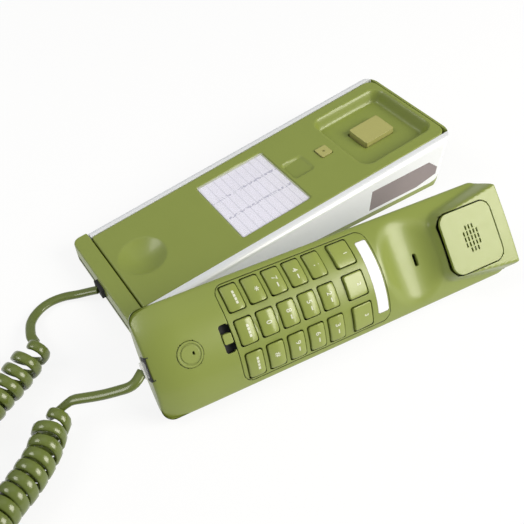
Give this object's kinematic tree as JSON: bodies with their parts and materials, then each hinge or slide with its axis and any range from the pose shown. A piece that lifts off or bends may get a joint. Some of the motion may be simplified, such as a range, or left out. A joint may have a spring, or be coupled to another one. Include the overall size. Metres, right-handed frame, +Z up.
{
  "type": "slimline telephone",
  "caption": "Slimline telephone: wedge base with silver side trims and ear well, handset with keypad in its face, joined by a curly cord.",
  "frame": {"origin": "middle of the flat land on the base's underside, which meets the wall or the table", "axes": "+X along the base towards its ear end, +Y to the base's far side, away from the handset, +Z up out of the deck side"},
  "size_m": [0.37, 0.1646, 0.0468],
  "materials": {
    "green_plastic": "satin olive green moulding",
    "key_plastic": "satin green key caps",
    "silver_trim": "silver lacquered trim",
    "smoky_lens": "smoky translucent lens",
    "lamp_red": "red lamp",
    "circuit_board": "circuit board",
    "black_plastic": "black moulding",
    "spring_steel": "plated steel",
    "weight_steel": "bare weight",
    "card_paper": "white card",
    "clear_cover": "clear window",
    "rubber": "soft rubber",
    "cord_vinyl": "glossy vinyl cord jacket",
    "clear_plug": "clear modular plug"
  },
  "bodies": {
    "base": {"base_bottom_shell": "green_plastic", "base_top_shell": "green_plastic", "side_trim_near": "silver_trim", "side_trim_far": "silver_trim", "ring_lamp_lens": "smoky_lens", "ring_lamp_led": "lamp_red", "base_circuit_board": "circuit_board", "hook_switch_module": "black_plastic", "hookswitch_spring": "spring_steel", "ringer_sounder": "black_plastic", "ringer_switch_body": "black_plastic", "index_card": "card_paper", "card_cover": "clear_cover", "ballast_plate": "weight_steel", "line_jack": "black_plastic", "cord_bushing": "cord_vinyl", "base_screws": "spring_steel", "rubber_feet": "rubber", "cord_tail_base": "cord_vinyl", "cord_coil": "cord_vinyl"},
    "handset": {"handset_face_shell": "green_plastic", "handset_back_shell": "green_plastic", "keypad_faceplate": "green_plastic", "earpiece_plate": "green_plastic", "receiver_capsule": "black_plastic", "receiver_gasket": "rubber", "microphone_cap": "green_plastic", "microphone_capsule": "spring_steel", "keypad_mat": "rubber", "keypad_circuit_board": "circuit_board", "volume_switch_body": "black_plastic", "name_strip": "card_paper", "handset_jack": "black_plastic", "handset_weight": "weight_steel", "handset_screws": "spring_steel", "cord_tail_handset": "cord_vinyl", "handset_plug": "clear_plug"},
    "hookswitch_button": {"hookswitch_plunger": "green_plastic"},
    "hanger_tab": {"handset_hanger": "green_plastic"},
    "ringer_slide": {"ringer_switch_knob": "black_plastic"},
    "volume_slide": {"volume_knob": "green_plastic"},
    "key_1": {"key_1": "key_plastic"},
    "key_2": {"key_2": "key_plastic"},
    "key_3": {"key_3": "key_plastic"},
    "key_4": {"key_4": "key_plastic"},
    "key_5": {"key_5": "key_plastic"},
    "key_6": {"key_6": "key_plastic"},
    "key_7": {"key_7": "key_plastic"},
    "key_8": {"key_8": "key_plastic"},
    "key_9": {"key_9": "key_plastic"},
    "key_star": {"key_star": "key_plastic"},
    "key_0": {"key_0": "key_plastic"},
    "key_hash": {"key_hash": "key_plastic"},
    "key_redial": {"key_redial": "key_plastic"},
    "key_flash": {"key_flash": "key_plastic"},
    "key_mute": {"key_mute": "key_plastic"},
    "key_memory_1": {"key_memory_1": "key_plastic"},
    "key_memory_2": {"key_memory_2": "key_plastic"},
    "key_memory_3": {"key_memory_3": "key_plastic"}
  },
  "joints": [
    {"name": "handset_lift", "type": "slide", "parent": "base", "child": "handset", "axis": [0, 0, 1], "range_m": [0, 0.08]},
    {"name": "hookswitch_press", "type": "slide", "parent": "base", "child": "hookswitch_button", "axis": [-0.1091, 0, 0.994], "range_m": [-0.0032, 0], "stiffness_N_per_m": 300, "springref_m": 0.003, "deforming": ["hookswitch_spring"]},
    {"name": "hanger_pull", "type": "slide", "parent": "base", "child": "hanger_tab", "axis": [-0.1091, 0, 0.994], "range_m": [0, 0.005]},
    {"name": "ringer_switch_slide", "type": "slide", "parent": "base", "child": "ringer_slide", "axis": [1, 0, 0], "range_m": [0, 0.004]},
    {"name": "volume_switch_slide", "type": "slide", "parent": "handset", "child": "volume_slide", "axis": [0.1055, 0.7346, 0.6703], "range_m": [-0.0032, 0.0032]},
    {"name": "press_key_1", "type": "slide", "parent": "handset", "child": "key_1", "axis": [-0.065, -0.6675, 0.7418], "range_m": [-0.0012, 0], "stiffness_N_per_m": 400, "springref_m": 0.001},
    {"name": "press_key_2", "type": "slide", "parent": "handset", "child": "key_2", "axis": [-0.065, -0.6675, 0.7418], "range_m": [-0.0012, 0], "stiffness_N_per_m": 400, "springref_m": 0.001},
    {"name": "press_key_3", "type": "slide", "parent": "handset", "child": "key_3", "axis": [-0.065, -0.6675, 0.7418], "range_m": [-0.0012, 0], "stiffness_N_per_m": 400, "springref_m": 0.001},
    {"name": "press_key_4", "type": "slide", "parent": "handset", "child": "key_4", "axis": [-0.065, -0.6675, 0.7418], "range_m": [-0.0012, 0], "stiffness_N_per_m": 400, "springref_m": 0.001},
    {"name": "press_key_5", "type": "slide", "parent": "handset", "child": "key_5", "axis": [-0.065, -0.6675, 0.7418], "range_m": [-0.0012, 0], "stiffness_N_per_m": 400, "springref_m": 0.001},
    {"name": "press_key_6", "type": "slide", "parent": "handset", "child": "key_6", "axis": [-0.065, -0.6675, 0.7418], "range_m": [-0.0012, 0], "stiffness_N_per_m": 400, "springref_m": 0.001},
    {"name": "press_key_7", "type": "slide", "parent": "handset", "child": "key_7", "axis": [-0.065, -0.6675, 0.7418], "range_m": [-0.0012, 0], "stiffness_N_per_m": 400, "springref_m": 0.001},
    {"name": "press_key_8", "type": "slide", "parent": "handset", "child": "key_8", "axis": [-0.065, -0.6675, 0.7418], "range_m": [-0.0012, 0], "stiffness_N_per_m": 400, "springref_m": 0.001},
    {"name": "press_key_9", "type": "slide", "parent": "handset", "child": "key_9", "axis": [-0.065, -0.6675, 0.7418], "range_m": [-0.0012, 0], "stiffness_N_per_m": 400, "springref_m": 0.001},
    {"name": "press_key_star", "type": "slide", "parent": "handset", "child": "key_star", "axis": [-0.065, -0.6675, 0.7418], "range_m": [-0.0012, 0], "stiffness_N_per_m": 400, "springref_m": 0.001},
    {"name": "press_key_0", "type": "slide", "parent": "handset", "child": "key_0", "axis": [-0.065, -0.6675, 0.7418], "range_m": [-0.0012, 0], "stiffness_N_per_m": 400, "springref_m": 0.001},
    {"name": "press_key_hash", "type": "slide", "parent": "handset", "child": "key_hash", "axis": [-0.065, -0.6675, 0.7418], "range_m": [-0.0012, 0], "stiffness_N_per_m": 400, "springref_m": 0.001},
    {"name": "press_key_redial", "type": "slide", "parent": "handset", "child": "key_redial", "axis": [-0.065, -0.6675, 0.7418], "range_m": [-0.0012, 0], "stiffness_N_per_m": 400, "springref_m": 0.001},
    {"name": "press_key_flash", "type": "slide", "parent": "handset", "child": "key_flash", "axis": [-0.065, -0.6675, 0.7418], "range_m": [-0.0012, 0], "stiffness_N_per_m": 400, "springref_m": 0.001},
    {"name": "press_key_mute", "type": "slide", "parent": "handset", "child": "key_mute", "axis": [-0.065, -0.6675, 0.7418], "range_m": [-0.0012, 0], "stiffness_N_per_m": 400, "springref_m": 0.001},
    {"name": "press_key_memory_1", "type": "slide", "parent": "handset", "child": "key_memory_1", "axis": [-0.065, -0.6675, 0.7418], "range_m": [-0.0012, 0], "stiffness_N_per_m": 400, "springref_m": 0.001},
    {"name": "press_key_memory_2", "type": "slide", "parent": "handset", "child": "key_memory_2", "axis": [-0.065, -0.6675, 0.7418], "range_m": [-0.0012, 0], "stiffness_N_per_m": 400, "springref_m": 0.001},
    {"name": "press_key_memory_3", "type": "slide", "parent": "handset", "child": "key_memory_3", "axis": [-0.065, -0.6675, 0.7418], "range_m": [-0.0012, 0], "stiffness_N_per_m": 400, "springref_m": 0.001}
  ]
}
